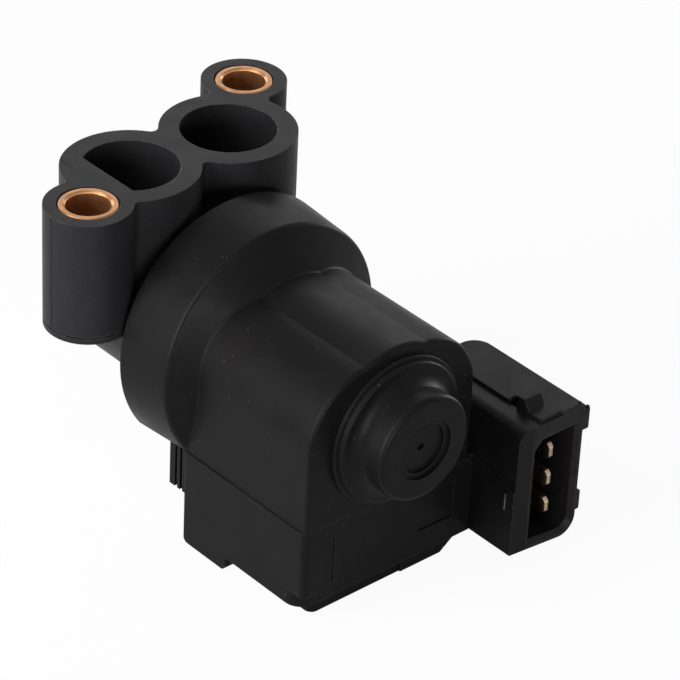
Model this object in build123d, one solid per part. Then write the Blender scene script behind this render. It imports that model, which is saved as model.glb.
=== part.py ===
from build123d import *
import math
import os

# Rotary idle air control valve, sizes in millimetres.
# The pieces are drawn in the motor frame: origin on the motor axis at the drum's front rim,
# +X toward the plug socket, -Y toward the cap and +Z toward the port face.
# The part frame has its origin at the bolt centre on the port face, and each piece moves there at the end.

tolerance = 1e-4  # for finding edges and corners by their place

# Clearances
press_gap = 0.02  # pressed and moulded-in round pieces, on the radius
slip_gap = 0.1  # pieces that drop into place
running_gap = 0.05  # shaft in its seal
ball_gap = 0.06  # balls in their races and cage
slide_gap = 0.3  # rotary slide in its chamber
air_gap = 0.6  # magnet to pole pieces
winding_gap = 0.25  # bobbin flanges to the box

# Port housing
axis_depth = 24.2  # motor axis below the port face
bolt_setback = 25.15  # bolt centre behind the drum's front rim
bolt_spacing_x = 42.4
bolt_spacing_y = 15.5
sleeve_bore = 6.8
sleeve_diameter = 9.4
sleeve_chamfer = 0.35
boss_diameter = 13.5
boss_length = 20.3
boss_groove_height = 0.9  # parting groove above the boss's lower end
boss_groove_size = 0.25
port_spacing = 18.86
port_lead = 2.75  # port centres ahead of the bolt centre
port_overlap = 2.5  # of the two port tubes' outer walls
port_bore = 15.0
port_chord = 4.35  # flat side of the metering port from that port's centre
port_floor = 4.0  # port floor above the motor axis
port_floor_wall = 2.2
outline_blend = 1.2
boss_web = 4.0  # web from each bolt boss to the nearest port tube
barrel_diameter = 30.0
barrel_tail = 8.35  # barrel's rear end behind the bolt centre
chamber_bore = 23.0
chamber_wall = 2.5
plug_thickness = 2.2
plug_inset = 0.3
plug_dish = 0.9

# Joint between the two housings
wall = 2.2
drum_length = 9.9
drum_back_diameter = 41.9
drum_front_diameter = 40.6
drum_wall = 1.9
drum_rim_radius = 0.9
drum_cone_slope = 0.6  # forward reach of the drum's front face for each millimetre inward
flange_thickness = 3.0
gasket_thickness = 1.0
gasket_width = 1.6

# Motor body
body_width = 32.0
body_length = 27.6
split_margin = 0.05  # parting plane of motor housing and box below the cap's step
shoulder_radius = 11.1
shoulder_height = 1.6
lobe_radius = 13.95
crease_blend = 0.5
body_edge_radius = 0.6
body_root_radius = 0.5

# Cap at the front of the motor body
step_diameter = 24.3  # rear ridge of the step
step_length = 1.8
rear_ridge_length = 0.9
rear_ridge_radius = 0.45
front_ridge_diameter = 23.0
step_edge_radius = 0.6
neck_length = 1.9
neck_undercut = 0.25
neck_hollow = 0.5  # inward bow of the neck's curve
nose_diameter = 17.1
nose_length = 3.3
nose_edge_radius = 0.8
nose_recess_diameter = 10.0
nose_recess_depth = 0.5
nose_floor_diameter = 8.2
nose_floor_depth = 0.5  # below the recess around it
nose_pit_diameter = 1.2
nose_pit_depth = 0.6
nose_wall = 1.2

# Ball bearings
shaft_diameter = 4.0
bearing_diameter = 13.0
bearing_width = 5.0
bearing_ring_wall = 1.45
ball_track_depth = 0.39
ball_count = 7
cage_wall = 1.0
cage_length = 1.5
cage_offset = 0.2
bearing_hub_wall = 1.5
rear_bearing_lead = 6.5  # rear bearing's front ahead of the flange
spring_height = 0.8
spring_sheet = 0.3
spring_width = 1.7
spring_margin = 0.4

# Shaft seal
seal_diameter = 10.0
seal_width = 2.2
seal_lip_width = 0.6
seal_skin = 0.8
shaft_hole_diameter = 5.2

# Rotor
shaft_body_diameter = 5.0
shaft_end_gap = 0.4
magnet_diameter = 14.0
hub_diameter = 8.0
hub_overhang = 1.0

# Rotary slide
slide_hub_diameter = 8.4
slide_wall = 1.8
slide_web = 2.0
slide_end_gap = 0.6
slide_start_angle = 125.0  # from +X toward +Z
slide_span_angle = 120.0
clip_thickness = 0.6
clip_groove_depth = 0.4
clip_diameter = 7.0
clip_opening = 2.4

# Stator and windings
pole_angle = 130.0
pole_root = 0.4  # depth that a pole face runs into its leg
leg_width = 4.0
yoke_height = 5.0
bobbin_wall = 0.8
bobbin_flange = 0.8
flange_margin = 0.25
winding_corner = 3.0

# Box under the motor
box_height = 14.2
box_margin = 0.2  # box's sides beyond the motor body
box_floor_wall = 1.6
box_edge_radius = 1.0
cover_thickness = 2.45
cover_inset = 3.0  # from the box's sides
cover_setback = 1.75  # from the box's front
cover_length = 15.3
cover_corner = 1.3
opening_corner = 0.9  # of the box's lower opening
cover_ledge = 1.6  # cover's rim beyond the box's lower opening
cover_rim_height = 1.0
cover_tab_left = 4.6
cover_tab_width = 8.1
cover_tab_reach = 0.3
cover_tab_slope = 3.4  # run of the tab's slanted right end
foot_length = 9.8
foot_edge_radius = 0.9
pillar_width = 7.1
panel_depth = 0.8
panel_drop = 0.8  # recess of the front panel below the parting plane
panel_corner = 1.5
pillar_corner = 2.6  # lower end of the corner pillar
pillar_rise = 2.6  # corner pillar's lower end above the box's lower face
low_corner = 3.0  # box corner below the pillar
parting_groove = 0.25  # along the box's upper left edge
pillar_groove_inset = 1.6
pillar_groove_width = 0.3
pillar_groove_depth = 0.25
pillar_groove_rise = 3.2  # above the box's lower face
pillar_groove_height = 8.4
window_left = 7.1  # deeper part of the front panel
window_width = 7.0
window_rise = 4.1  # above the box's lower face
window_height = 6.6
window_depth = 0.25
rear_block_inset = 0.8
rear_block_length = 4.8
rear_block_height = 8.9
rear_rib_pitch = 1.2
rear_rib_depth = 0.4
rear_rib_count = 3

# Plug socket
socket_gap = 1.8  # between the motor body and the socket
socket_drop = 4.1  # socket's top below the motor axis
socket_fall = 1.3  # lower face from the left side to the right
socket_width = 13.25
socket_height = 21.85
socket_reach = 8.6  # mouth ahead of the box's front
socket_length = 23.4
socket_wall_left = 3.3
socket_wall_right = 1.1
socket_wall_top = 2.7
socket_wall_bottom = 1.2
socket_corner = 3.0
socket_inner_corner = 1.6
socket_lead_in = 0.7  # bevel of the mouth's right and lower edges
socket_edge_radius = 2.2
socket_back_radius = 3.0
top_plate_inset = 4.7
top_plate_margin = 0.35  # from the socket's right side
top_plate_height = 0.5
top_plate_setback = 0.45  # left stretch of the plate's front edge behind the mouth
top_plate_stretch = 4.0
latch_width = 3.25
latch_length = 2.6
latch_lean = 0.9
latch_crest = 0.9
latch_height = 1.7
latch_setback = 3.3
notch_width = 1.5
notch_length = 1.5
notch_depth = 1.2
key_rib_length = 8.0
key_rib_radius = 0.7
key_rib_root = 0.3  # into the socket's right wall
upper_rib_drop = 0.9  # below the socket's top
upper_rib_height = 3.6
upper_rib_reach = 1.65
lower_rib_rise = 3.2  # above the box's lower face
lower_rib_height = 3.3
lower_rib_reach = 1.15
side_nub_setback = 1.3
side_nub_width = 0.6
side_nub_drop = 10.8
side_nub_height = 3.2
side_nub_reach = 0.7
gusset_reach = 0.3  # thickened lower part of the socket's left wall
gusset_drop = 8.3  # its upper edge below the socket's top, at the box
gusset_fall = 2.2  # of that edge, toward the mouth

# Terminals
terminal_pitch = 5.0
terminal_offset = 4.3  # from the socket cavity's left wall
terminal_thickness = 0.8
terminal_width = 2.8
terminal_inset = 1.0  # blade tips behind the socket's mouth
terminal_tip_chamfer = 0.7  # above and below
terminal_tip_radius = 0.3  # left and right
terminal_cover = 0.5  # plastic between the socket cavity and the risers
riser_length = 1.6
tab_width = 1.6
tab_pitch = 3.8
tab_drop = 0.2  # upper tab below the parting plane
tab_reach = 1.7  # into the box
tab_setback = 2.0  # behind the box's front wall

# Places that follow from the sizes above
port_half_spacing = port_spacing / 2
port_diameter = port_spacing + port_overlap
port_setback = bolt_setback - port_lead
boss_low = axis_depth - boss_length
barrel_end = bolt_setback + barrel_tail
chamber_front = drum_length + chamber_wall
plug_back = barrel_end - plug_inset
plug_front = plug_back - plug_thickness

split_height = -step_diameter / 2 - split_margin
drum_bore = drum_front_diameter - 2 * drum_wall
drum_floor = split_height + wall
ledge_floor = drum_floor + gasket_width
flange_front = drum_length - flange_thickness
gasket_front = flange_front - gasket_thickness

body_half = body_width / 2
box_half = body_half + box_margin
cavity_half = body_half - wall
front_face = -body_length
motor_cavity_front = front_face + wall
motor_cavity_back = -wall
rear_ridge_front = front_face - rear_ridge_length
step_front = front_face - step_length
neck_front = step_front - neck_length
nose_front = neck_front - nose_length
nose_floor = nose_front + nose_recess_depth + nose_floor_depth
bearing_pocket_front = nose_floor + nose_wall

front_bearing_y = bearing_pocket_front + spring_height
rear_bearing_y = flange_front - rear_bearing_lead
rear_bearing_back = rear_bearing_y + bearing_width
inner_ring_diameter = shaft_diameter + 2 * bearing_ring_wall
outer_ring_inner_diameter = bearing_diameter - 2 * bearing_ring_wall
ball_pitch_radius = (inner_ring_diameter + outer_ring_inner_diameter) / 4
ball_radius = (outer_ring_inner_diameter - inner_ring_diameter) / 4 + ball_track_depth

box_floor = split_height - box_height
box_cavity_floor = box_floor + box_floor_wall
rest_height = box_floor - cover_thickness
pillar_low = box_floor + pillar_rise
panel_back = front_face + panel_depth
cover_half = body_half - cover_inset
cover_front = front_face + cover_setback
cover_back = cover_front + cover_length

leg_outer = cavity_half - slip_gap
leg_inner = leg_outer - leg_width
pole_radius = magnet_diameter / 2 + air_gap
yoke_middle = (split_height + box_cavity_floor) / 2
yoke_low = yoke_middle - yoke_height / 2
yoke_top = yoke_middle + yoke_height / 2
bobbin_reach = leg_inner - slip_gap
bobbin_tube = slip_gap + bobbin_wall
bobbin_edge = (split_height - box_cavity_floor - yoke_height) / 2 - winding_gap
winding_edge = bobbin_edge - flange_margin
stack_front = motor_cavity_front + bobbin_edge + winding_gap
stack_back = motor_cavity_back - bobbin_edge - winding_gap

shaft_front = front_bearing_y + spring_sheet
shaft_back = plug_front - shaft_end_gap
clip_back = shaft_back - clip_thickness
clip_front = clip_back - clip_thickness
slide_front = chamber_front + slide_end_gap
slide_back = clip_front
slide_radius = chamber_bore / 2 - slide_gap

tab_back = motor_cavity_front + tab_setback
tab_end = cavity_half - tab_reach
socket_left = body_half + socket_gap
socket_right = socket_left + socket_width
socket_top = -socket_drop
socket_low = socket_top - socket_height
socket_mouth = front_face - socket_reach
socket_back = socket_mouth + socket_length
socket_floor = tab_back - riser_length - terminal_cover
cavity_left = socket_left + socket_wall_left
cavity_right = socket_right - socket_wall_right
cavity_low = socket_low - socket_fall * socket_wall_left / socket_width + socket_wall_bottom
cavity_top = socket_top - socket_wall_top
plate_left = socket_left + top_plate_inset
plate_top = socket_top + top_plate_height
terminal_left = cavity_left + terminal_offset
terminal_right = terminal_left + terminal_thickness
terminal_middle = (cavity_low + cavity_top) / 2
terminal_tip = socket_mouth + terminal_inset


def block(x0, x1, y0, y1, z0, z1):
    """Rectangular block between two opposite corners."""
    centre = Pos((x0 + x1) / 2, (y0 + y1) / 2, (z0 + z1) / 2)
    return centre * Box(x1 - x0, y1 - y0, z1 - z0)


def rod(diameter, y0, y1):
    """Cylinder on the motor axis."""
    return Pos(0, (y0 + y1) / 2, 0) * Rot(90, 0, 0) * Cylinder(diameter / 2, y1 - y0)


def post(diameter, x, y, z0, z1):
    """Upright cylinder."""
    return Pos(x, y, (z0 + z1) / 2) * Cylinder(diameter / 2, z1 - z0)


def turned(*points):
    """Solid of revolution about the motor axis, from (radius, y) points."""
    return revolve(make_face(Polyline(*points, close=True)), Axis.Y)


def across(section, y0, y1):
    """Section drawn with X to the right and Z up, stretched from y0 to y1."""
    return extrude(Plane.XZ.offset(-y1) * section, y1 - y0)


def upright(section, z0, z1):
    """Section drawn in X and Y, stretched from z0 to z1."""
    return extrude(Plane.XY.offset(z0) * section, z1 - z0)


def rectangle(x0, x1, y0, y1):
    """Flat rectangle between two opposite corners."""
    return Pos((x0 + x1) / 2, (y0 + y1) / 2) * Rectangle(x1 - x0, y1 - y0)


def flat_bottomed_disc(radius, flat):
    """Disc section about the motor axis, cut level below."""
    return Circle(radius) & rectangle(-radius, radius, flat, radius)


def same(one, other):
    """Whether two lengths agree, apart from rounding."""
    return math.isclose(one, other, abs_tol=tolerance)


def edges_at(piece, axis, place):
    """Edges that lie wholly in one plane across an axis."""
    return [edge for edge in piece.edges()
            if all(same(getattr(edge @ share, axis), place) for share in (0, 0.5, 1))]


def corner_of(section, x, y):
    """Vertex of a flat section that lies at x, y."""
    return min(section.vertices(), key=lambda v: math.hypot(v.X - x, v.Y - y))


def bolt_places():
    """Centres of the two bolt bosses, left one first."""
    left = (-bolt_spacing_x / 2, bolt_setback - bolt_spacing_y / 2)
    right = (bolt_spacing_x / 2, bolt_setback + bolt_spacing_y / 2)
    return left, right


def port_outline():
    """Outline of the port tubes and bolt bosses, with the inner corners blended."""
    circles = [(x, y, boss_diameter / 2) for x, y in bolt_places()]
    circles += [(side * port_half_spacing, port_setback, port_diameter / 2) for side in (-1, 1)]
    outline = Sketch() + [Pos(x, y) * Circle(r) for x, y, r in circles]
    for boss, port in zip(circles, circles[2:]):
        across_x, across_y = port[0] - boss[0], port[1] - boss[1]
        middle = Pos((boss[0] + port[0]) / 2, (boss[1] + port[1]) / 2)
        turn = Rot(0, 0, math.degrees(math.atan2(across_y, across_x)))
        outline += middle * turn * Rectangle(math.hypot(across_x, across_y), boss_web)
    corners = [v for v in outline.vertices()
               if sum(same(math.hypot(v.X - x, v.Y - y), r) for x, y, r in circles) > 1]
    return fillet(corners, outline_blend)


def make_port_housing():
    """Moulding with the ports, the bolt bosses, the valve barrel and the flange inside the drum."""
    tube_low = port_floor - port_floor_wall
    body = upright(port_outline(), boss_low, axis_depth)
    for side in (-1, 1):
        body += post(port_diameter, side * port_half_spacing, port_setback, tube_low, axis_depth)
    body += rod(barrel_diameter, drum_length, barrel_end)
    flange = flat_bottomed_disc(drum_bore / 2 - slip_gap, drum_floor + slip_gap)
    body += across(flange, flange_front, drum_length)
    hub_radius = bearing_diameter / 2 + bearing_hub_wall
    body += across(flat_bottomed_disc(hub_radius, ledge_floor + slip_gap), rear_bearing_y, drum_length)
    body -= rod(chamber_bore, chamber_front, barrel_end)
    body -= rod(shaft_hole_diameter, rear_bearing_y, barrel_end)
    body -= rod(bearing_diameter + 2 * press_gap, rear_bearing_y, rear_bearing_back)
    body -= rod(seal_diameter + 2 * press_gap, rear_bearing_y, rear_bearing_back + seal_width)
    body -= post(port_bore, port_half_spacing, port_setback, port_floor, axis_depth)
    metering = post(port_bore, -port_half_spacing, port_setback, port_floor, axis_depth)
    flat_x = -port_half_spacing - port_chord
    metering -= block(flat_x - port_bore, flat_x, 0, barrel_end, port_floor, axis_depth)
    body -= metering
    groove_low = boss_low + boss_groove_height
    for x, y in bolt_places():
        body -= post(sleeve_diameter + 2 * press_gap, x, y, boss_low, axis_depth)
        groove = post(boss_diameter, x, y, groove_low, groove_low + boss_groove_size)
        groove -= post(boss_diameter - 2 * boss_groove_size, x, y, groove_low, groove_low + boss_groove_size)
        outer_x = x + math.copysign(boss_diameter, x)
        body -= groove & block(min(x, outer_x), max(x, outer_x), y - boss_diameter, y + boss_diameter,
                               groove_low, axis_depth)
    return body


def make_sleeve(place):
    """Turned sleeve that takes the bolt's clamping force."""
    x, y = place
    sleeve = post(sleeve_diameter, x, y, boss_low, axis_depth) - post(sleeve_bore, x, y, boss_low, axis_depth)
    return chamfer(edges_at(sleeve, "Z", axis_depth) + edges_at(sleeve, "Z", boss_low), sleeve_chamfer)


def make_chamber_plug():
    """Dished disc that closes the rear of the valve chamber."""
    radius = chamber_bore / 2 - press_gap
    dish = radius - wall
    return turned((0, plug_front), (radius, plug_front), (radius, plug_back), (dish, plug_back),
                  (dish - plug_dish, plug_back - plug_dish), (0, plug_back - plug_dish))


def make_gasket():
    """Flat gasket between the drum's ledge and the port housing's flange."""
    radius = drum_bore / 2 - slip_gap
    outer = flat_bottomed_disc(radius, drum_floor + slip_gap)
    inner = flat_bottomed_disc(radius - gasket_width, ledge_floor + slip_gap)
    return across(outer - inner, gasket_front, flange_front)


def body_section(inset):
    """Motor body outline across its axis, moved inward by inset."""
    half = body_half - inset
    shoulder_x = body_half - shoulder_radius
    shoulder = shoulder_radius - inset
    lobe = lobe_radius - inset
    section = rectangle(-half, half, split_height, shoulder_height)
    section += rectangle(-shoulder_x, shoulder_x, split_height, shoulder_height + shoulder)
    section += [Pos(side * shoulder_x, shoulder_height) * Circle(shoulder) for side in (-1, 1)]
    return section + flat_bottomed_disc(lobe, 0)


def creased_section():
    """Motor body outline with the creases between the lobe and the shoulders rounded."""
    section = body_section(0)
    corners = [v for v in section.vertices()
               if same(math.hypot(v.X, v.Y), lobe_radius) and v.Y > shoulder_height]
    return fillet(corners, crease_blend)


def cone_place(radius):
    """Place of the drum's sloping front face at a radius."""
    return -drum_cone_slope * (drum_front_diameter / 2 - radius)


def on_cone(point):
    """Whether a point lies on the drum's sloping front face, inside its rounded rim."""
    radius = math.hypot(point.X, point.Z)
    inside = radius < drum_front_diameter / 2 - 2 * drum_rim_radius
    return inside and same(point.Y, cone_place(radius))


def make_motor_housing():
    """Moulding with the drum, the lobed motor body and the stepped cap."""
    body = across(creased_section(), front_face, drum_length / 2)
    front_edges = [e for e in edges_at(body, "Y", front_face) if not same((e @ 0.5).Z, split_height)]
    body = fillet(front_edges, body_edge_radius)
    cone_tip = lobe_radius / 2
    drum = turned((0, drum_length), (drum_back_diameter / 2, drum_length), (drum_front_diameter / 2, 0),
                  (cone_tip, cone_place(cone_tip)), (0, cone_place(cone_tip)))
    drum = fillet(edges_at(drum, "Y", 0), drum_rim_radius)
    drum -= block(-drum_back_diameter, drum_back_diameter, -body_length, drum_length,
                  -drum_back_diameter, split_height)
    body += drum
    root_edges = [e for e in body.edges() if on_cone(e @ 0.5) and on_cone(e @ 0.1)]
    body = fillet(root_edges, body_root_radius)
    body += make_cap()
    return body - make_motor_cavity()


def make_cap():
    """Round cap around the front bearing, with two ridges, a hollow neck and a nose, solid."""
    rear_radius = step_diameter / 2
    front_radius = front_ridge_diameter / 2
    step = turned((0, motor_cavity_front), (rear_radius, motor_cavity_front), (rear_radius, rear_ridge_front),
                  (front_radius, rear_ridge_front), (front_radius, step_front), (0, step_front))
    rear_rims = sorted(edges_at(step, "Y", rear_ridge_front), key=lambda edge: edge.radius)
    step = fillet(rear_rims[-1], rear_ridge_radius)
    step = fillet(edges_at(step, "Y", step_front), step_edge_radius)
    neck = nose_diameter / 2 - neck_undercut
    reach = front_radius - step_edge_radius
    neck_curve = SagittaArc((reach, step_front), (neck, neck_front), -neck_hollow)
    rest = Polyline((neck, neck_front), (0, neck_front), (0, step_front), (reach, step_front))
    step += revolve(make_face(neck_curve + rest), Axis.Y)
    nose = rod(nose_diameter, nose_front, neck_front)
    nose = fillet(edges_at(nose, "Y", nose_front), nose_edge_radius)
    nose -= rod(nose_recess_diameter, nose_front, nose_front + nose_recess_depth)
    nose -= rod(nose_floor_diameter, nose_front, nose_floor)
    return step + nose - rod(nose_pit_diameter, nose_floor, nose_floor + nose_pit_depth)


def make_motor_cavity():
    """Hollow of the motor housing: motor space, bearing pocket and drum space."""
    cavity = across(body_section(wall), motor_cavity_front, motor_cavity_back)
    cavity += rod(bearing_diameter + 2 * press_gap, bearing_pocket_front, motor_cavity_front)
    pocket = flat_bottomed_disc(drum_bore / 2, drum_floor)
    cavity += across(pocket, gasket_front, drum_length)
    ledge = flat_bottomed_disc(drum_bore / 2 - gasket_width, ledge_floor)
    cavity += across(ledge, wall, gasket_front)
    throat = lobe_radius - wall
    cavity += across(flat_bottomed_disc(throat, ledge_floor), motor_cavity_back, wall)
    return cavity


def panel_recess():
    """Recess in the box's front beside and below the corner pillar, as a flat section."""
    left = pillar_width - box_half
    top = split_height - panel_drop
    recess = rectangle(left, box_half, box_floor, top) + rectangle(-box_half, left, box_floor, pillar_low)
    recess = fillet(corner_of(recess, left, top), panel_corner)
    return fillet(corner_of(recess, left, pillar_low), pillar_corner)


def make_foot(left, right):
    """Foot at one side of the box, with rounded lower edges."""
    foot = block(left, right, -foot_length, 0, rest_height, box_cavity_floor)
    low_edges = edges_at(foot, "Z", rest_height)
    return fillet([e for e in low_edges if same((e @ 0).Y, (e @ 1).Y)], foot_edge_radius)


def make_box():
    """Box under the motor with its feet, front panel and rear block, solid."""
    body = block(-box_half, box_half, front_face, 0, box_floor, split_height)
    corner = [e for e in edges_at(body, "X", -box_half) if same((e @ 0.5).Y, front_face)]
    body = fillet(corner, box_edge_radius)
    body -= across(panel_recess(), front_face, panel_back)
    corner_x = low_corner - box_half
    corner_y = panel_back + low_corner
    spare = rectangle(-box_half, corner_x, front_face, corner_y)
    spare -= Pos(corner_x, corner_y) * Circle(low_corner)
    body -= upright(spare, box_floor, pillar_low)
    body -= block(-box_half, parting_groove - box_half, front_face + box_edge_radius, 0,
                  split_height - parting_groove, split_height)
    window_low = box_floor + window_rise
    body -= block(window_left, window_left + window_width, panel_back, panel_back + window_depth,
                  window_low, window_low + window_height)
    groove_x = pillar_width - box_half - pillar_groove_inset
    groove_low = box_floor + pillar_groove_rise
    body -= block(groove_x, groove_x + pillar_groove_width, front_face, front_face + pillar_groove_depth,
                  groove_low, groove_low + pillar_groove_height)
    foot_inner = cover_half + slip_gap
    return body + make_foot(-box_half, -foot_inner) + make_foot(foot_inner, box_half) + make_rear_block()


def make_rear_block():
    """Ribbed block behind the box, under the drum."""
    half = body_half - rear_block_inset
    low = split_height - rear_block_height
    body = block(-half, half, 0, rear_block_length, low, split_height)
    for index in range(rear_rib_count):
        y = rear_rib_pitch * (index + 0.5)
        for face, inner in ((-half, rear_rib_depth - half), (half, half - rear_rib_depth)):
            body -= block(min(face, inner), max(face, inner), y, y + rear_rib_pitch / 2, low, split_height)
    return body


def make_terminal_housing():
    """Moulding with the box under the motor and the plug socket beside it."""
    body = make_box() + make_socket()
    body += block(box_half, socket_left, panel_back, socket_back, box_floor, split_height)
    body -= block(-cavity_half, cavity_half, motor_cavity_front, motor_cavity_back,
                  box_cavity_floor, split_height)
    body -= cover_opening(0)
    for heights in terminal_heights():
        body -= terminal_metal(*heights)
    return body


def cover_opening(gap):
    """Lower opening of the box, or the cover's rim in it when a gap is given."""
    width = 2 * (cover_half - cover_ledge - gap)
    length = cover_length - 2 * (cover_ledge + gap)
    section = RectangleRounded(width, length, opening_corner)
    return upright(Pos(0, (cover_front + cover_back) / 2) * section, box_floor, box_cavity_floor)


def make_bottom_cover():
    """Plate that closes the box from below, with a locating rim."""
    section = RectangleRounded(2 * cover_half, cover_length, cover_corner)
    section = Pos(0, (cover_front + cover_back) / 2) * section
    plate = upright(section, rest_height, box_floor)
    tab_right = cover_tab_left + cover_tab_width
    tab = make_face(Polyline((cover_tab_left, rest_height), (tab_right, rest_height),
                             (tab_right + cover_tab_slope, box_floor), (cover_tab_left, box_floor),
                             close=True))
    plate += across(tab, cover_front - cover_tab_reach, cover_front + cover_corner)
    rim = cover_opening(slip_gap)
    rim &= block(-cover_half, cover_half, cover_front, cover_back, box_floor, box_floor + cover_rim_height)
    return plate + rim


def top_plate():
    """Plate on the socket, with a stepped front edge."""
    stretch = plate_left + top_plate_stretch
    plate_right = socket_right - top_plate_margin
    setback = socket_mouth + top_plate_setback
    outline = make_face(Polyline((plate_left, setback), (stretch, setback),
                                 (stretch + top_plate_setback, socket_mouth), (plate_right, socket_mouth),
                                 (plate_right, socket_back), (plate_left, socket_back), close=True))
    outline = fillet(corner_of(outline, plate_right, socket_back), socket_back_radius)
    return upright(outline, socket_top, plate_top)


def key_rib(low, height, reach):
    """Rounded rib on the socket's right side, for the plug's keyway."""
    outer = socket_right + reach
    rib = block(socket_right - key_rib_root, outer, socket_mouth, socket_mouth + key_rib_length,
                low, low + height)
    return fillet(edges_at(rib, "X", outer), key_rib_radius)


def make_latch():
    """Catch on the top plate that holds the plug."""
    front = socket_mouth + latch_setback
    crest = front + latch_lean
    top = plate_top + latch_height
    wedge = Polyline((front, plate_top), (crest, top), (crest + latch_crest, top),
                     (front + latch_length, plate_top), close=True)
    return extrude(Plane.YZ.offset(plate_left) * make_face(wedge), latch_width)


def socket_cavity_section(lead_in):
    """Cavity of the socket across its length, opened to the right and below by lead_in."""
    right = cavity_right + lead_in
    low = cavity_low - lead_in
    fall = socket_fall * (right - cavity_left) / socket_width
    section = make_face(Polyline((cavity_left, low), (right, low - fall), (right, cavity_top),
                                 (cavity_left, cavity_top), close=True))
    section = chamfer(corner_of(section, cavity_left, cavity_top), socket_inner_corner)
    return fillet(corner_of(section, right, low - fall), socket_corner - socket_wall_right)


def make_gusset():
    """Thicker lower part of the socket's left wall, ahead of the box."""
    top = socket_top - gusset_drop
    side = make_face(Polyline((panel_back, socket_low), (panel_back, top),
                              (socket_mouth, top - gusset_fall), (socket_mouth, socket_low), close=True))
    return extrude(Plane.YZ.offset(socket_left - gusset_reach) * side, gusset_reach)


def make_socket():
    """Plug socket with its top plate, latch, ribs and cavity."""
    outer = make_face(Polyline((socket_left, socket_low), (socket_right, socket_low - socket_fall),
                               (socket_right, socket_top), (socket_left, socket_top), close=True))
    outer = fillet(corner_of(outer, socket_right, socket_low - socket_fall), socket_corner)
    outer = fillet(corner_of(outer, socket_left, socket_top), socket_edge_radius)
    body = across(outer, socket_mouth, socket_back)
    back_edges = [e for e in edges_at(body, "Y", socket_back) if same((e @ 0.5).X, socket_right)]
    body = fillet(back_edges, socket_back_radius) + top_plate()
    notch_front = socket_mouth + latch_setback + latch_length
    body -= block(plate_left, plate_left + notch_width, notch_front, notch_front + notch_length,
                  plate_top - notch_depth, plate_top)
    mouth = Plane.XZ.offset(-socket_mouth) * socket_cavity_section(socket_lead_in)
    inside = Plane.XZ.offset(-socket_mouth - socket_lead_in) * socket_cavity_section(0)
    body -= loft([mouth, inside]) + across(socket_cavity_section(0), socket_mouth, socket_floor)
    body += make_latch() + make_gusset()
    body += key_rib(socket_top - upper_rib_drop - upper_rib_height, upper_rib_height, upper_rib_reach)
    body += key_rib(box_floor + lower_rib_rise, lower_rib_height, lower_rib_reach)
    nub_front = socket_mouth + side_nub_setback
    nub_top = socket_top - side_nub_drop
    body += block(socket_left - side_nub_reach, socket_left, nub_front, nub_front + side_nub_width,
                  nub_top - side_nub_height, nub_top)
    return body


def terminal_heights():
    """Heights of each terminal's blade and inner tab, top one first."""
    tab_top = split_height - tab_drop - tab_width / 2
    blade_top = terminal_middle + terminal_pitch
    return [(blade_top - index * terminal_pitch, tab_top - index * tab_pitch) for index in range(3)]


def terminal_metal(blade_z, tab_z):
    """Stamped terminal: blade in the socket, riser and tab into the box."""
    blade_low = blade_z - terminal_width / 2
    blade_high = blade_z + terminal_width / 2
    blade = block(terminal_left, terminal_right, terminal_tip, tab_back, blade_low, blade_high)
    tip_edges = edges_at(blade, "Y", terminal_tip)
    blade = fillet([e for e in tip_edges if same((e @ 0.5).Z, blade_z)], terminal_tip_radius)
    shoulder = terminal_tip + terminal_tip_chamfer
    side = make_face(Polyline((tab_back, blade_low), (shoulder, blade_low),
                              (terminal_tip, blade_low + terminal_tip_chamfer),
                              (terminal_tip, blade_high - terminal_tip_chamfer),
                              (shoulder, blade_high), (tab_back, blade_high), close=True))
    blade &= extrude(Plane.YZ.offset(terminal_left) * side, terminal_thickness)
    low = min(blade_low, tab_z - tab_width / 2)
    high = max(blade_high, tab_z + tab_width / 2)
    riser = block(terminal_left, terminal_right, tab_back - riser_length, tab_back, low, high)
    tab = block(tab_end, terminal_right, tab_back - terminal_thickness, tab_back,
                tab_z - tab_width / 2, tab_z + tab_width / 2)
    return blade + riser + tab


def make_pole(side):
    """Laminated pole piece: curved face beside the magnet and the leg down to the yoke bar."""
    ring = Circle(leg_inner + pole_root) - Circle(pole_radius)
    rise = leg_outer * math.tan(math.radians(pole_angle / 2))
    wedge = make_face(Polyline((0, 0), (leg_outer, rise), (leg_outer, -rise), close=True))
    section = (ring & wedge) + rectangle(leg_inner, leg_outer, yoke_low, shoulder_height)
    pole = across(section, stack_front, stack_back)
    return pole if side > 0 else mirror(pole, Plane.YZ)


def make_yoke_bar():
    """Bar that carries the windings between the two legs."""
    return block(-leg_inner, leg_inner, stack_front, stack_back, yoke_low, yoke_top)


def around_yoke(grow, corner, x0, x1):
    """Block around the yoke bar, grown on all four sides, from x0 to x1."""
    length = stack_back - stack_front + 2 * grow
    height = yoke_height + 2 * grow
    section = RectangleRounded(length, height, corner) if corner else Rectangle(length, height)
    section = Pos((stack_front + stack_back) / 2, yoke_middle) * section
    return extrude(Plane.YZ.offset(x0) * section, x1 - x0)


def make_bobbin():
    """Moulded former with two winding spaces on the yoke bar."""
    body = around_yoke(bobbin_tube, 0, -bobbin_reach, bobbin_reach)
    for x in (-bobbin_reach, -bobbin_flange / 2, bobbin_reach - bobbin_flange):
        body += around_yoke(bobbin_edge, winding_corner, x, x + bobbin_flange)
    return body - around_yoke(slip_gap, 0, -bobbin_reach, bobbin_reach)


def make_coil(side):
    """Copper winding in one of the bobbin's two spaces."""
    near = bobbin_flange / 2
    far = bobbin_reach - bobbin_flange
    x0, x1 = (near, far) if side > 0 else (-far, -near)
    return around_yoke(winding_edge, winding_corner, x0, x1) - around_yoke(bobbin_tube, 0, x0, x1)


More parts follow.
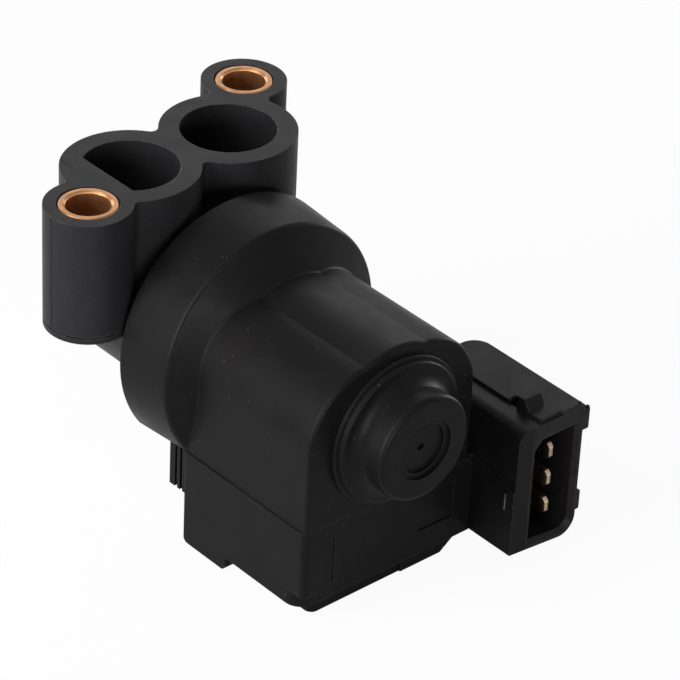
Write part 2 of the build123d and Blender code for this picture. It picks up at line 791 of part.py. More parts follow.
def ball_places(y):
    """Ball centres of a bearing whose front is at y."""
    turns = [math.radians(360 * index / ball_count) for index in range(ball_count)]
    middle = y + bearing_width / 2
    radius = ball_pitch_radius
    return [Pos(radius * math.cos(turn), middle, radius * math.sin(turn)) for turn in turns]


def ball_track(y):
    """Ring-shaped space that the balls roll in."""
    return Pos(0, y + bearing_width / 2, 0) * Rot(90, 0, 0) * Torus(ball_pitch_radius, ball_radius + ball_gap)


def make_outer_ring(y):
    """Bearing outer ring with its ball track."""
    ring = rod(bearing_diameter, y, y + bearing_width) - rod(outer_ring_inner_diameter, y, y + bearing_width)
    return ring - ball_track(y)


def make_inner_ring(y):
    """Bearing inner ring with its ball track."""
    ring = rod(inner_ring_diameter, y, y + bearing_width) - rod(shaft_diameter, y, y + bearing_width)
    return ring - ball_track(y)


def make_balls(y):
    """Set of bearing balls, one solid each."""
    return Compound(children=[place * Sphere(ball_radius) for place in ball_places(y)])


def make_cage(y):
    """Crown cage that spaces the balls."""
    start = y + bearing_width / 2 + cage_offset
    cage = rod(2 * ball_pitch_radius + cage_wall, start, start + cage_length)
    cage -= rod(2 * ball_pitch_radius - cage_wall, start, start + cage_length)
    for place in ball_places(y):
        cage -= place * Sphere(ball_radius + ball_gap)
    return cage


def make_preload_spring():
    """Conical spring washer that presses on the front bearing's outer ring."""
    outer = bearing_diameter / 2 - spring_margin
    inner = outer - spring_width
    return turned((inner, bearing_pocket_front), (outer, front_bearing_y - spring_sheet),
                  (outer, front_bearing_y), (inner, bearing_pocket_front + spring_sheet))


def make_shaft_seal():
    """Lip seal between the valve chamber and the motor."""
    lip = shaft_diameter / 2 + running_gap
    outer = seal_diameter / 2
    back = rear_bearing_back + seal_width
    return turned((outer - seal_skin, rear_bearing_back), (outer, rear_bearing_back), (outer, back),
                  (lip, back), (lip, back - seal_lip_width), (outer - seal_skin, back - seal_skin))


def make_rotor_shaft():
    """Stepped shaft through both bearings, with the clip groove at the slide's end."""
    thin = shaft_diameter / 2 - press_gap
    shaft = rod(2 * thin, shaft_front, shaft_back)
    shaft += rod(shaft_body_diameter, front_bearing_y + bearing_width, rear_bearing_y)
    groove = rod(shaft_diameter, clip_front, clip_back) - rod(
        shaft_diameter - 2 * clip_groove_depth, clip_front, clip_back)
    return shaft - groove


def make_magnet_hub():
    """Hub between the shaft and the ring magnet."""
    start = stack_front - hub_overhang
    end = stack_back + hub_overhang
    return rod(hub_diameter, start, end) - rod(shaft_body_diameter + 2 * press_gap, start, end)


def make_rotor_magnet():
    """Ring magnet on the hub."""
    magnet = rod(magnet_diameter, stack_front, stack_back)
    return magnet - rod(hub_diameter + 2 * press_gap, stack_front, stack_back)


def slide_sector():
    """Wedge that bounds the rotary slide's shell, as a flat section."""
    angles = [math.radians(slide_start_angle + slide_span_angle * part) for part in (0, 1 / 3, 2 / 3, 1)]
    points = [(0, 0)] + [(chamber_bore * math.cos(angle), chamber_bore * math.sin(angle)) for angle in angles]
    return make_face(Polyline(*points, close=True))


def make_rotary_slide():
    """Shell segment on two webs and a hub, which covers the metering port as it turns."""
    shell = (Circle(slide_radius) - Circle(slide_radius - slide_wall)) & slide_sector()
    web = (Circle(slide_radius) & slide_sector()) + Circle(slide_hub_diameter / 2)
    slide = across(shell, slide_front, slide_back)
    slide += across(web, slide_front, slide_front + slide_web)
    slide += across(web, slide_back - slide_web, slide_back)
    slide += rod(slide_hub_diameter, slide_front, slide_back)
    return slide - rod(shaft_diameter, slide_front, slide_back)


def make_slide_clip():
    """Open retaining clip in the shaft's groove."""
    groove_diameter = shaft_diameter - 2 * clip_groove_depth
    clip = rod(clip_diameter, clip_front, clip_back)
    clip -= rod(groove_diameter + 2 * press_gap, clip_front, clip_back)
    return clip - block(-clip_opening / 2, clip_opening / 2, clip_front, clip_back, 0, clip_diameter)


left_bolt, right_bolt = bolt_places()
pieces = {
    "port_housing": make_port_housing(),
    "mount_sleeve_left": make_sleeve(left_bolt),
    "mount_sleeve_right": make_sleeve(right_bolt),
    "chamber_plug": make_chamber_plug(),
    "housing_gasket": make_gasket(),
    "motor_housing": make_motor_housing(),
    "terminal_housing": make_terminal_housing(),
    "bottom_cover": make_bottom_cover(),
    "pole_piece_left": make_pole(-1),
    "pole_piece_right": make_pole(1),
    "yoke_bar": make_yoke_bar(),
    "coil_bobbin": make_bobbin(),
    "opening_coil": make_coil(-1),
    "closing_coil": make_coil(1),
    "preload_spring": make_preload_spring(),
    "shaft_seal": make_shaft_seal(),
    "rotor_shaft": make_rotor_shaft(),
    "magnet_hub": make_magnet_hub(),
    "rotor_magnet": make_rotor_magnet(),
    "rotary_slide": make_rotary_slide(),
    "slide_clip": make_slide_clip(),
}
for name, heights in zip(("top", "middle", "bottom"), terminal_heights()):
    pieces["terminal_" + name] = terminal_metal(*heights)
for name, y in (("front", front_bearing_y), ("rear", rear_bearing_y)):
    pieces[name + "_bearing_outer_ring"] = make_outer_ring(y)
    pieces[name + "_bearing_inner_ring"] = make_inner_ring(y)
    pieces[name + "_bearing_balls"] = make_balls(y)
    pieces[name + "_bearing_cage"] = make_cage(y)

to_part_frame = Pos(0, -bolt_setback, -axis_depth)
os.makedirs("parts", exist_ok=True)
for name, piece in pieces.items():
    export_step(to_part_frame * piece, os.path.join("parts", name + ".step"))
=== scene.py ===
import math

import bpy
from mathutils import Matrix, Vector


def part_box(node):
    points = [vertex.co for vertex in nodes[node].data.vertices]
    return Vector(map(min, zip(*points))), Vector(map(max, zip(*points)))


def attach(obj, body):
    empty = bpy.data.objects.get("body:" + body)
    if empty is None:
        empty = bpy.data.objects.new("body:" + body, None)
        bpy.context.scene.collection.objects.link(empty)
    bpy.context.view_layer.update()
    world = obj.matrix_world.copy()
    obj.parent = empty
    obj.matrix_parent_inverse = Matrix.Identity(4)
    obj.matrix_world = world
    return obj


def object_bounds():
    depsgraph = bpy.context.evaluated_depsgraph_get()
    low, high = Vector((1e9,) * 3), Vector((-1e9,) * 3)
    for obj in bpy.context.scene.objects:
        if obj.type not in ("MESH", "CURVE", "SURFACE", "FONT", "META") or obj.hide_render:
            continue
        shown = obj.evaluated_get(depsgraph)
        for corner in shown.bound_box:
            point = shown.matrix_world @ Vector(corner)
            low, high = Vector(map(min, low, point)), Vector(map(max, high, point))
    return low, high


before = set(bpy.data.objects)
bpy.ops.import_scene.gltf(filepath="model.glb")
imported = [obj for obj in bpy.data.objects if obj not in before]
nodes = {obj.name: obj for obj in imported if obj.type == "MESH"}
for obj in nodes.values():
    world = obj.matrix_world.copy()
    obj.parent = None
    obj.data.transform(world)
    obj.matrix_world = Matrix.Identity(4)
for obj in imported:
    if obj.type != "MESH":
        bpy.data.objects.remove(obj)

cad_low, cad_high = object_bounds()
MM = 0.001

# Camera, in the part's own frame and in metres
CAMERA_PLACE = (-0.29155, -0.35785, 0.26153)
CAMERA_RIGHT = (0.75382, -0.65573, 0.04199)
CAMERA_UP = (0.32835, 0.43129, 0.84034)
CAMERA_BACK = (-0.56915, -0.61968, 0.54043)
CAMERA_LENS = 185.69
SENSOR_WIDTH = 36.0

# Floor and background
FLOOR_SIZE = 8.0
FLOOR_DROP = 0.00005  # below the part's lowest face
FLOOR_COLOUR = (0.93, 0.93, 0.93, 1)
FLOOR_GLOW = 0.94  # share of plain white where the floor is seen directly
FLOOR_GLOW_REFLECTED = 0.15
WHITE = (1, 1, 1, 1)

# Softboxes: name, place and size in metres, power in watts
SOFTBOXES = (
    ("softbox_left_high", (-0.50, 0.10, 0.40), (0.40, 0.40), 2.45),
    ("softbox_left_low", (-0.60, 0.10, 0.10), (0.30, 0.40), 3.7),
    ("softbox_back_right", (0.40, 0.42, 0.33), (0.35, 0.30), 0.5),
    ("softbox_front_left", (-0.30, -0.66, 0.08), (0.40, 0.25), 2.6),
    ("softbox_right", (0.62, 0.02, 0.04), (0.30, 0.20), 1.1),
    ("softbox_back", (0.05, 0.66, 0.10), (0.40, 0.30), 1.8),
    ("softbox_top", (-0.30, -0.30, 0.60), (0.20, 0.20), 0.4),
)

# Settings that the materials share
BEVEL_SAMPLES = 6
OCCLUSION_SAMPLES = 4
EDGE_COSINES = (0.995, 0.88)  # turn of the softened normal beside an edge and on it
OPEN_SHARES = (0.80, 0.97)  # clear share of the view from an inner corner and from an open face
MIX_A, MIX_B, MIX_RESULT = 6, 7, 2  # sockets of a mix of colours

# Colours
BLACK = (0.0050, 0.0045, 0.0048)
PORT_BLACK = (0.0136, 0.0131, 0.0142)
# Paler plastic for a strip on the side nub: a painted highlight
NUB_HIGHLIGHT_BLACK = (0.040, 0.038, 0.037)
RUBBER = (0.012, 0.012, 0.012)
SPECK = (0.30, 0.29, 0.28, 1)
SLEEVE_BRASS = (0.34, 0.165, 0.070)
TERMINAL_BRASS = (0.52, 0.41, 0.29)
LAMINATION = (0.40, 0.40, 0.41)

# Marks on moulded plastic: how much paler or darker than the plastic they are
GRAIN_TINT = 1.9
DUST_TINT = 3.8
# Pale edges: partly rubbing, partly painted highlight
RUBBED_AND_HIGHLIGHT_TINT = 10.0
SCUFF_TINT = 3.0
PARTING_TINT = 0.1

# Places and sizes on the part, in millimetres
SHAFT_CENTRE = (0, 0, -24.2)
SLEEVE_BORE = 3.4  # radius
SOCKET_DUST = (20.6, -55.5)  # X and Y of the corner where the dust starts
TERMINAL_SOCKET_SHADE = (-59.0, -60.25)  # Y where painted shade deep in the socket is full and where it has faded
WIRE = 0.35  # coil wire's diameter
# Parting lines on the bolt bosses and the left port: axis, place on it, half width and the box around it
PARTING_LINES = (
    ("Y", -7.75, 0.16, (-28.5, -9.0, -19.3), (-25.0, -6.5, -0.1)),
    ("Y", 7.75, 0.16, (25.0, 6.5, -19.3), (28.5, 9.0, -0.1)),
    ("X", -16.85, 0.10, (-17.5, 1.0, -0.3), (-16.0, 6.6, 0.3)),
)

# Moulding flash on the plug socket, in millimetres
PLATE_TOP = -27.8
FLASH_ROOT = 0.05  # depth by which flash is sunk into its face
DOME_SIDES = 12
DOME_LEVELS = 4
UP = (0, 0, 1)
LEFT = (-1, 0, 0)


class Finish:
    """A material in the making: its nodes, its shader and places on the part in millimetres."""

    def __init__(self, name):
        self.material = bpy.data.materials.new(name)
        self.material.use_nodes = True
        self.tree = self.material.node_tree
        self.shader = self.tree.nodes["Principled BSDF"]
        self.place = self.scaled(self.add("ShaderNodeTexCoord").outputs["Object"], (1 / MM, 1 / MM, 1 / MM))
        self.normal = None

    def add(self, kind, **settings):
        node = self.tree.nodes.new(kind)
        for name, value in settings.items():
            setattr(node, name, value)
        return node

    def feed(self, socket, value):
        """Links a socket to another one, or sets its value."""
        if isinstance(value, bpy.types.NodeSocket):
            self.tree.links.new(value, socket)
        else:
            socket.default_value = value

    def scaled(self, vector, scale, shift=(0, 0, 0)):
        node = self.add("ShaderNodeMapping")
        self.feed(node.inputs["Vector"], vector)
        self.feed(node.inputs["Location"], shift)
        self.feed(node.inputs["Scale"], scale)
        return node.outputs["Vector"]

    def axes(self):
        """Outputs X, Y and Z of a point's place."""
        node = self.add("ShaderNodeSeparateXYZ")
        self.feed(node.inputs["Vector"], self.place)
        return node.outputs

    def noise(self, per_mm, detail=3.0, rough=0.55, stretch=(1, 1, 1)):
        node = self.add("ShaderNodeTexNoise")
        self.feed(node.inputs["Vector"], self.scaled(self.place, stretch))
        self.feed(node.inputs["Scale"], per_mm)
        self.feed(node.inputs["Detail"], detail)
        self.feed(node.inputs["Roughness"], rough)
        return node.outputs["Fac"]

    def cells(self, per_mm):
        """Distance from the nearest of many scattered points, and that point's own random colour."""
        node = self.add("ShaderNodeTexVoronoi")
        self.feed(node.inputs["Vector"], self.place)
        self.feed(node.inputs["Scale"], per_mm)
        return node.outputs["Distance"], node.outputs["Color"]

    def span(self, value, low, high, to_low=0.0, to_high=1.0):
        """Maps low to to_low and high to to_high, and stays between them."""
        node = self.add("ShaderNodeMapRange")
        for name, number in zip(("Value", "From Min", "From Max", "To Min", "To Max"),
                                (value, low, high, to_low, to_high)):
            self.feed(node.inputs[name], number)
        return node.outputs["Result"]

    def calc(self, operation, a, b=0.0):
        node = self.add("ShaderNodeMath", operation=operation)
        self.feed(node.inputs[0], a)
        self.feed(node.inputs[1], b)
        return node.outputs["Value"]

    def times(self, a, b):
        return self.calc("MULTIPLY", a, b)

    def blend(self, factor, a, b):
        node = self.add("ShaderNodeMix", data_type="RGBA")
        self.feed(node.inputs["Factor"], factor)
        self.feed(node.inputs[MIX_A], a)
        self.feed(node.inputs[MIX_B], b)
        return node.outputs[MIX_RESULT]

    def soften(self, radius):
        """Rounds the shading at edges, and returns a mask that is 1 on them."""
        bevel = self.add("ShaderNodeBevel", samples=BEVEL_SAMPLES)
        self.feed(bevel.inputs["Radius"], radius * MM)
        self.normal = bevel.outputs["Normal"]
        turn = self.add("ShaderNodeVectorMath", operation="DOT_PRODUCT")
        self.feed(turn.inputs[0], bevel.outputs["Normal"])
        self.feed(turn.inputs[1], self.add("ShaderNodeNewGeometry").outputs["Normal"])
        return self.span(turn.outputs["Value"], *EDGE_COSINES)

    def open_to(self, reach):
        """1 where nothing stands within reach in millimetres, less in inner corners."""
        node = self.add("ShaderNodeAmbientOcclusion", samples=OCCLUSION_SAMPLES, only_local=True)
        self.feed(node.inputs["Distance"], reach * MM)
        return self.span(node.outputs["AO"], *OPEN_SHARES)

    def line(self, axis, at, half, low, high, fade=0.05):
        """1 on a thin line where an axis has one value, inside a box with faded ends."""
        place = self.axes()
        away = self.calc("ABSOLUTE", self.calc("SUBTRACT", place[axis], at))
        mask = self.span(away, half, half * 0.4)
        for name, start, end in zip("XYZ", low, high):
            mask = self.times(mask, self.span(place[name], start, start + fade))
            mask = self.times(mask, self.span(place[name], end, end - fade))
        return mask

    def bump(self, height, depth):
        """Adds relief of this depth in millimetres to the surface."""
        node = self.add("ShaderNodeBump")
        self.feed(node.inputs["Strength"], 1.0)
        self.feed(node.inputs["Distance"], depth * MM)
        self.feed(node.inputs["Height"], height)
        if self.normal is not None:
            self.feed(node.inputs["Normal"], self.normal)
        self.normal = node.outputs["Normal"]

    def uneven_gloss(self, per_mm, roughness, smoother, rougher, detail=3.0):
        """Roughness that varies in patches, by these amounts to both sides."""
        return self.span(self.noise(per_mm, detail), 0.30, 0.70, roughness - smoother, roughness + rougher)

    def done(self, colour, roughness, metallic=0.0, specular=0.5):
        self.feed(self.shader.inputs["Base Color"], colour)
        self.feed(self.shader.inputs["Roughness"], roughness)
        self.feed(self.shader.inputs["Metallic"], metallic)
        self.feed(self.shader.inputs["Specular IOR Level"], specular)
        if self.normal is not None:
            self.feed(self.shader.inputs["Normal"], self.normal)
        return self.material


def tint(colour, factor=1.0):
    return tuple(channel * factor for channel in colour) + (1,)


def dust_mask(finish, corner_x, corner_y, side_fade=0.3, front_fade=5.0):
    """Patchy dust right of a corner and in front of it."""
    place = finish.axes()
    right = finish.span(place["X"], corner_x, corner_x + side_fade)
    front = finish.span(place["Y"], corner_y, corner_y - front_fade)
    patches = finish.span(finish.noise(0.5, detail=4.0), 0.30, 0.62, 0.45, 1.0)
    return finish.times(finish.times(right, front), patches)


def scuff_mask(finish):
    """Fine scratches along Y, in a few patches."""
    scratches = finish.noise(1.0, detail=2.0, rough=0.6, stretch=(6.0, 0.10, 4.0))
    patches = finish.span(finish.noise(0.08), 0.50, 0.65)
    return finish.times(finish.span(scratches, 0.66, 0.74), patches)


def speck_mask(finish, share):
    """Small round specks, about one place in each millimetre, kept by up to this share in patches."""
    distance, random = finish.cells(1.0)
    kept = finish.span(finish.noise(0.07, detail=2.0), 0.40, 0.62, 0.0, share)
    return finish.times(finish.span(distance, 0.065, 0.035), finish.calc("LESS_THAN", random, kept))


def moulded(name, colour, roughness, grain=0.006, specks=0.0, specular=0.07, dusty_from=None, lines=(),
            rubbed_and_highlit_share=0.7):
    """Moulded plastic: fine grain, uneven gloss, edges painted paler as rubbing and as painted highlight,
    faint scuffs and a little dust.

    grain is the relief's depth in millimetres, and specks is the share of places that have a pale speck.
    dusty_from is a corner in millimetres: right of it and in front of it the surface is dustier.
    lines are the mould's dark parting lines, and wear is how strongly the edges are painted paler, partly as
    rubbing and partly as painted highlight.
    """
    finish = Finish(name)
    edge = finish.soften(0.20)
    cloud = finish.noise(0.11, detail=4.0)
    fine = finish.noise(5.5, detail=2.0)
    paint = finish.blend(finish.span(cloud, 0.35, 0.65), tint(colour, 0.88), tint(colour, 1.15))
    paint = finish.blend(finish.span(fine, 0.40, 0.72, 0.0, 0.7), paint, tint(colour, GRAIN_TINT))
    if dusty_from:
        paint = finish.blend(dust_mask(finish, *dusty_from), paint, tint(colour, DUST_TINT))
    # Edges painted paler, partly as rubbing and partly as painted highlight, kept out of inner corners
    rubbed_and_highlit = finish.times(edge, finish.span(finish.noise(0.9), 0.38, 0.66, 0.25, 1.0))
    rubbed_and_highlit = finish.times(rubbed_and_highlit, finish.open_to(0.5))
    paint = finish.blend(finish.times(rubbed_and_highlit, rubbed_and_highlit_share), paint, tint(colour, RUBBED_AND_HIGHLIGHT_TINT))
    paint = finish.blend(finish.times(scuff_mask(finish), 0.25), paint, tint(colour, SCUFF_TINT))
    gloss = finish.uneven_gloss(0.22, roughness, 0.05, 0.07)
    gloss = finish.calc("SUBTRACT", gloss, finish.times(rubbed_and_highlit, 0.10))
    if specks:
        speck = speck_mask(finish, specks)
        paint = finish.blend(finish.times(speck, 0.7), paint, SPECK)
        gloss = finish.calc("ADD", gloss, finish.times(speck, 0.3))
    for line in lines:
        mask = finish.line(*line)
        paint = finish.blend(mask, paint, tint(colour, PARTING_TINT))
        finish.bump(finish.calc("SUBTRACT", 1.0, mask), 0.04)
    finish.bump(finish.noise(0.30, detail=2.0), 0.030)
    finish.bump(fine, grain)
    return finish.done(paint, gloss, specular=specular)


def turned(name, colour, roughness, axis, centre, pitch=0.22, depth=0.004, metallic=1.0, painted_light_bore=None):
    """Turned metal: fine tool marks round an axis, tarnished patches, painted highlights on the edges and
    painted light in the hole.

    pitch and depth are those of the tool marks, and bore is the radius inside which the metal is painted
    paler, as painted light in the hole, in millimetres.
    """
    finish = Finish(name)
    edge = finish.soften(0.10)
    flat = {"X": (0, 1, 1), "Y": (1, 0, 1), "Z": (1, 1, 0)}[axis]
    shift = tuple(-at * keep for at, keep in zip(centre, flat))
    radius = finish.add("ShaderNodeVectorMath", operation="LENGTH")
    finish.feed(radius.inputs[0], finish.scaled(finish.place, flat, shift))
    marks = finish.add("ShaderNodeTexNoise", noise_dimensions="1D")
    finish.feed(marks.inputs["W"], finish.calc("ADD", radius.outputs["Value"], finish.axes()[axis]))
    finish.feed(marks.inputs["Scale"], 1 / pitch)
    finish.feed(marks.inputs["Detail"], 2.0)
    mark = marks.outputs["Fac"]
    patch = finish.span(finish.noise(0.45, detail=4.0), 0.38, 0.66)
    paint = finish.blend(patch, tint(colour, 0.78), tint(colour, 1.05))
    # Painted light: the metal inside the hole is painted paler
    if painted_light_bore:
        outside = finish.span(radius.outputs["Value"], painted_light_bore + 0.05, painted_light_bore + 0.25)
        paint = finish.blend(outside, tint(colour, 1.55), paint)
    paint = finish.blend(finish.span(mark, 0.35, 0.70, 0.0, 0.5), paint, tint(colour, 0.6))
    # Painted highlight on the edges
    paint = finish.blend(finish.times(edge, 0.5), paint, tint(colour, 1.3))
    gloss = finish.uneven_gloss(0.8, roughness, 0.07, 0.10)
    finish.bump(mark, depth)
    finish.bump(finish.noise(4.0, detail=2.0), 0.002)
    return finish.done(paint, gloss, metallic)


def drawn(name, colour, roughness, stretch, depth=0.003, socket_shade=None):
    """Rolled or drawn metal: fine lines along one direction, stained patches, painted highlights on the
    edges and painted shade deep in a socket.

    tarnish is the range of Y in millimetres over which painted shade, deep in the socket, fades to the
    metal's own colour.
    """
    finish = Finish(name)
    edge = finish.soften(0.12)
    lines = finish.noise(1.6, detail=2.0, rough=0.5, stretch=stretch)
    stain = finish.span(finish.noise(0.30, detail=4.0), 0.35, 0.68)
    paint = finish.blend(stain, tint(colour, 0.72), tint(colour))
    paint = finish.blend(finish.span(lines, 0.35, 0.70, 0.0, 0.4), paint, tint(colour, 0.7))
    # Painted highlight on the edges
    paint = finish.blend(finish.times(edge, 0.6), paint, tint(colour, 1.25))
    # Painted shade: the metal darker deeper in the socket
    if socket_shade:
        shaded_from, lit_from = socket_shade
        dark = finish.span(finish.axes()["Y"], lit_from, shaded_from)
        paint = finish.blend(dark, paint, tint(colour, 0.30))
    gloss = finish.uneven_gloss(0.9, roughness, 0.06, 0.10)
    finish.bump(lines, depth)
    return finish.done(paint, gloss, 1.0)


def wound(name, colour, roughness, wire):
    """Enamelled wire in close turns, laid across the yoke's length."""
    finish = Finish(name)
    edge = finish.soften(0.10)
    phase = finish.times(finish.axes()["X"], math.pi / wire)
    turn = finish.calc("ABSOLUTE", finish.calc("SINE", phase))
    cloud = finish.span(finish.noise(0.35), 0.35, 0.65)
    paint = finish.blend(cloud, tint(colour, 0.75), tint(colour))
    # Painted shade in the crevices between the turns
    paint = finish.blend(finish.span(turn, 0.45, 0.0), paint, tint(colour, 0.25))
    # Painted highlight on the edges
    paint = finish.blend(finish.times(edge, 0.3), paint, tint(colour, 1.3))
    gloss = finish.uneven_gloss(0.7, roughness, 0.05, 0.08)
    finish.bump(turn, wire * 0.4)
    return finish.done(paint, gloss, 1.0)


def sleeve(name, node):
    low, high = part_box(node)
    centre = [(a + b) / 2 / MM for a, b in zip(low, high)]
    return turned(name, SLEEVE_BRASS, 0.33, "Z", centre, metallic=0.85, painted_light_bore=SLEEVE_BORE)


def shaft_turned(name, colour, roughness, pitch, depth=0.004):
    return turned(name, colour, roughness, "Y", SHAFT_CENTRE, pitch, depth)


def laminated(name):
    return drawn(name, LAMINATION, 0.42, (0.1, 6.0, 0.1), 0.02)


motor_plastic = moulded("motor_plastic", BLACK, 0.37, specks=0.90)
socket_plastic = moulded("socket_plastic", BLACK, 0.38, specks=0.65, dusty_from=SOCKET_DUST, rubbed_and_highlit_share=1.0)
port_plastic = moulded("port_plastic", PORT_BLACK, 0.40, specks=0.25, lines=PARTING_LINES)
steel = shaft_turned("bearing_steel", (0.56, 0.56, 0.57), 0.18, 0.12, 0.002)
materials = {
    "port_housing": port_plastic,
    "mount_sleeve_left": sleeve("sleeve_brass_left", "mount_sleeve_left"),
    "mount_sleeve_right": sleeve("sleeve_brass_right", "mount_sleeve_right"),
    "chamber_plug": shaft_turned("plug_aluminium", (0.66, 0.66, 0.67), 0.34, 0.3, 0.006),
    "housing_gasket": moulded("seal_rubber", RUBBER, 0.70, 0.012, specks=0.1, specular=0.2),
    "shaft_seal": moulded("seal_rubber_shaft", RUBBER, 0.66, 0.012, specular=0.2),
    "motor_housing": motor_plastic,
    "terminal_housing": socket_plastic,
    "bottom_cover": motor_plastic,
    "coil_bobbin": moulded("bobbin_plastic", (0.55, 0.50, 0.40), 0.42, specks=0.05, specular=0.4),
    "pole_piece_left": laminated("laminated_steel"),
    "yoke_bar": laminated("laminated_steel_bar"),
    "opening_coil": wound("copper_winding_open", (0.62, 0.26, 0.11), 0.32, WIRE),
    "closing_coil": wound("copper_winding_close", (0.52, 0.20, 0.09), 0.34, WIRE),
    "preload_spring": shaft_turned("spring_steel", (0.50, 0.50, 0.52), 0.28, 0.2),
    "rotor_shaft": shaft_turned("shaft_steel", (0.58, 0.58, 0.59), 0.22, 0.1, 0.002),
    "magnet_hub": shaft_turned("hub_aluminium", (0.70, 0.70, 0.71), 0.36, 0.25, 0.005),
    "rotor_magnet": drawn("magnet", (0.10, 0.10, 0.11), 0.48, (1.0, 3.0, 1.0), 0.010),
    "rotary_slide": drawn("slide_aluminium", (0.62, 0.62, 0.63), 0.40, (1.0, 4.0, 1.0), 0.005),
    "slide_clip": shaft_turned("clip_steel", (0.45, 0.45, 0.47), 0.30, 0.2),
}
materials["pole_piece_right"] = materials["pole_piece_left"]
terminal_brass = drawn("terminal_brass", TERMINAL_BRASS, 0.34, (8.0, 0.15, 8.0), socket_shade=TERMINAL_SOCKET_SHADE)
cage_plastic = moulded("cage_plastic", (0.32, 0.25, 0.16), 0.45, 0.005)
for level in ("top", "middle", "bottom"):
    materials["terminal_" + level] = terminal_brass
for end in ("front", "rear"):
    for piece in ("outer_ring", "inner_ring", "balls"):
        materials[f"{end}_bearing_{piece}"] = steel
    materials[f"{end}_bearing_cage"] = cage_plastic

for name, node in nodes.items():
    node.data.materials.clear()
    node.data.materials.append(materials[name])


def add_piece(name, points, faces, material):
    """Piece of detail that rides the housing, from points in millimetres."""
    mesh = bpy.data.meshes.new(name)
    mesh.from_pydata([[value * MM for value in point] for point in points], [], faces)
    mesh.materials.append(material)
    piece = bpy.data.objects.new(name, mesh)
    bpy.context.scene.collection.objects.link(piece)
    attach(piece, "housing")


def ridge(name, path, up, width, heights, material):
    """Low rounded ridge along a path, with its own height at each point, sunk a little into its face."""
    up = Vector(up)
    path = [Vector(point) for point in path]
    outline = ((-0.5, None), (-0.38, 0.6), (0.0, 1.0), (0.38, 0.6), (0.5, None))
    points = []
    for index, point in enumerate(path):
        ahead = path[min(index + 1, len(path) - 1)] - path[max(index - 1, 0)]
        side = ahead.cross(up).normalized()
        for across, share in outline:
            rise = -FLASH_ROOT if share is None else heights[index] * share
            points.append(point + side * across * width + up * rise)
    count = len(outline)
    faces = [tuple(range(count)), tuple(reversed(range(len(points) - count, len(points))))]
    for start in range(0, len(points) - count, count):
        for k in range(count):
            following = (k + 1) % count
            faces.append((start + k, start + count + k, start + count + following, start + following))
    add_piece(name, points, faces, material)


def dome(name, centre, radius, height, material):
    """Small uneven lump of flash on a face that looks up."""
    x, y, z = centre
    points = []
    for level in range(DOME_LEVELS):
        share = level / DOME_LEVELS
        reach = radius * math.cos(share * math.pi / 2)
        rise = height * math.sin(share * math.pi / 2) - (FLASH_ROOT if level == 0 else 0)
        for k in range(DOME_SIDES):
            angle = 2 * math.pi * k / DOME_SIDES
            uneven = reach * (1 + 0.12 * math.sin(3 * angle + level))
            points.append((x + uneven * math.cos(angle), y + uneven * math.sin(angle), z + rise))
    points.append((x, y, z + height))
    faces = [tuple(reversed(range(DOME_SIDES)))]
    for level in range(DOME_LEVELS - 1):
        for k in range(DOME_SIDES):
            a = level * DOME_SIDES + k
            b = level * DOME_SIDES + (k + 1) % DOME_SIDES
            faces.append((a, b, b + DOME_SIDES, a + DOME_SIDES))
    last = (DOME_LEVELS - 1) * DOME_SIDES
    faces += [(last + k, last + (k + 1) % DOME_SIDES, len(points) - 1) for k in range(DOME_SIDES)]
    add_piece(name, points, faces, material)


def between(start, end, count):
    return [[a + (b - a) * k / (count - 1) for a, b in zip(start, end)] for k in range(count)]


def wavy_height(k):
    return 0.10 + 0.05 * math.sin(1.7 * k) + 0.06 * math.sin(0.63 * k + 1)


plate_edge = (between((22.7, -60.70, PLATE_TOP), (26.4, -60.70, PLATE_TOP), 24)
              + between((26.9, -61.15, PLATE_TOP), (30.1, -61.15, PLATE_TOP), 22))
edge_heights = [wavy_height(k) for k in range(len(plate_edge))]
ridge("plate_edge_flash", plate_edge, UP, 0.32, edge_heights, socket_plastic)
notch_back_heights = [0.08, 0.34, 0.12, 0.26, 0.42, 0.10, 0.22, 0.30, 0.06]
notch_back = between((22.6, -53.80, PLATE_TOP), (24.1, -53.80, PLATE_TOP), len(notch_back_heights))
ridge("notch_back_flash", notch_back, UP, 0.25, notch_back_heights, motor_plastic)
notch_side_heights = [0.05, 0.22, 0.10, 0.30, 0.14, 0.24, 0.06]
notch_side = between((24.15, -55.35, PLATE_TOP), (24.15, -54.0, PLATE_TOP), len(notch_side_heights))
ridge("notch_side_flash", notch_side, UP, 0.22, notch_side_heights, motor_plastic)
dome("plate_corner_flash", (30.32, -60.98, PLATE_TOP), 0.30, 0.34, socket_plastic)
dome("rib_top_flash", (32.15, -60.92, -29.2), 0.36, 0.30, socket_plastic)
# A low pale strip on the side nub, its paleness a painted highlight where the nub catches the light
nub_highlight_plastic = moulded("nub_highlight_plastic", NUB_HIGHLIGHT_BLACK, 0.42)
nub_heights = [0.12, 0.14, 0.08, 0.06, 0.07, 0.05, 0.06, 0.08, 0.07, 0.10, 0.15, 0.12]
nub_face = between((17.1, -59.88, -39.3), (17.1, -59.88, -42.1), len(nub_heights))
ridge("side_nub_highlight", nub_face, LEFT, 0.20, nub_heights, nub_highlight_plastic)


def make_camera():
    data = bpy.data.cameras.new("camera")
    data.lens = CAMERA_LENS
    data.sensor_width = SENSOR_WIDTH
    camera = bpy.data.objects.new("camera", data)
    bpy.context.scene.collection.objects.link(camera)
    turn = Matrix((CAMERA_RIGHT, CAMERA_UP, CAMERA_BACK)).transposed().to_4x4()
    camera.matrix_world = Matrix.Translation(Vector(CAMERA_PLACE)) @ turn
    bpy.context.scene.camera = camera


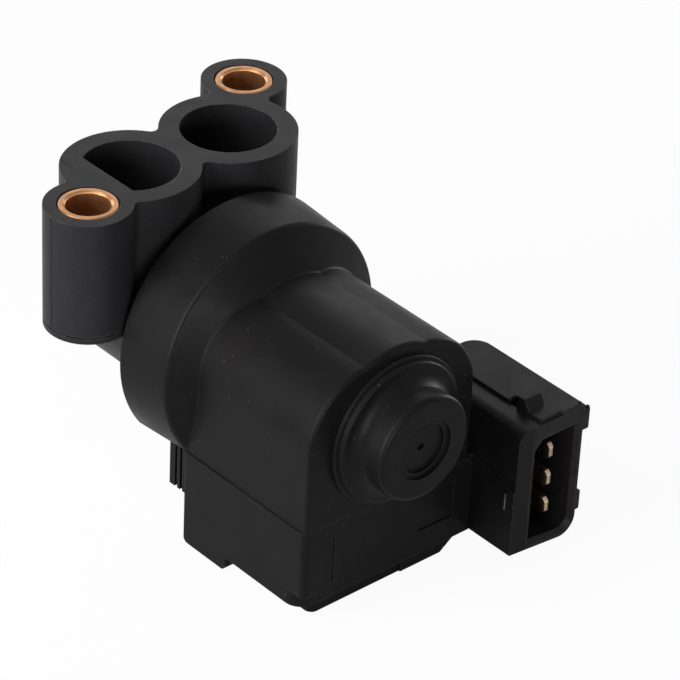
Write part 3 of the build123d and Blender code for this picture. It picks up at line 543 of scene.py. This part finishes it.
def seen_rays(tree, direct, reflected):
    """Share of white for a ray that shows the background: from the camera, through glass or reflected."""
    path = tree.nodes.new("ShaderNodeLightPath")
    shares = (("Is Camera Ray", direct), ("Is Transmission Ray", direct), ("Is Glossy Ray", reflected))
    total = None
    for name, share in shares:
        part = tree.nodes.new("ShaderNodeMath")
        part.operation = "MULTIPLY"
        part.inputs[1].default_value = share
        tree.links.new(path.outputs[name], part.inputs[0])
        if total is None:
            total = part.outputs["Value"]
            continue
        most = tree.nodes.new("ShaderNodeMath")
        most.operation = "MAXIMUM"
        tree.links.new(total, most.inputs[0])
        tree.links.new(part.outputs["Value"], most.inputs[1])
        total = most.outputs["Value"]
    return total


def make_floor():
    mesh = bpy.data.meshes.new("floor")
    half = FLOOR_SIZE / 2
    height = cad_low.z - FLOOR_DROP
    corners = [(-half, -half, height), (half, -half, height), (half, half, height), (-half, half, height)]
    mesh.from_pydata(corners, [], [(0, 1, 2, 3)])
    floor = bpy.data.objects.new("floor", mesh)
    bpy.context.scene.collection.objects.link(floor)
    material = bpy.data.materials.new("floor")
    material.use_nodes = True
    tree = material.node_tree
    tree.nodes.remove(tree.nodes["Principled BSDF"])
    paper = tree.nodes.new("ShaderNodeBsdfDiffuse")
    paper.inputs["Color"].default_value = FLOOR_COLOUR
    glow = tree.nodes.new("ShaderNodeEmission")
    glow.inputs["Color"].default_value = WHITE
    mix = tree.nodes.new("ShaderNodeMixShader")
    tree.links.new(seen_rays(tree, FLOOR_GLOW, FLOOR_GLOW_REFLECTED), mix.inputs["Fac"])
    tree.links.new(paper.outputs["BSDF"], mix.inputs[1])
    tree.links.new(glow.outputs["Emission"], mix.inputs[2])
    tree.links.new(mix.outputs["Shader"], tree.nodes["Material Output"].inputs["Surface"])
    mesh.materials.append(material)


def make_world():
    """White where it is seen, and no light from it elsewhere."""
    world = bpy.data.worlds.new("studio")
    bpy.context.scene.world = world
    world.use_nodes = True
    tree = world.node_tree
    background = tree.nodes["Background"]
    background.inputs["Color"].default_value = WHITE
    tree.links.new(seen_rays(tree, 1.0, 1.0), background.inputs["Strength"])


def make_lamp(name, place, size, power):
    """Rectangular softbox that faces the part's centre and isn't seen by the camera."""
    data = bpy.data.lights.new(name, "AREA")
    data.shape = "RECTANGLE"
    data.size, data.size_y = size
    data.energy = power
    lamp = bpy.data.objects.new(name, data)
    bpy.context.scene.collection.objects.link(lamp)
    aim = (cad_low + cad_high) / 2 - Vector(place)
    lamp.matrix_world = Matrix.Translation(Vector(place)) @ aim.to_track_quat("-Z", "Y").to_matrix().to_4x4()
    lamp.visible_camera = False


make_camera()
make_floor()
make_world()
for softbox in SOFTBOXES:
    make_lamp(*softbox)

bpy.context.scene.view_settings.view_transform = "Standard"
bpy.context.view_layer.update()
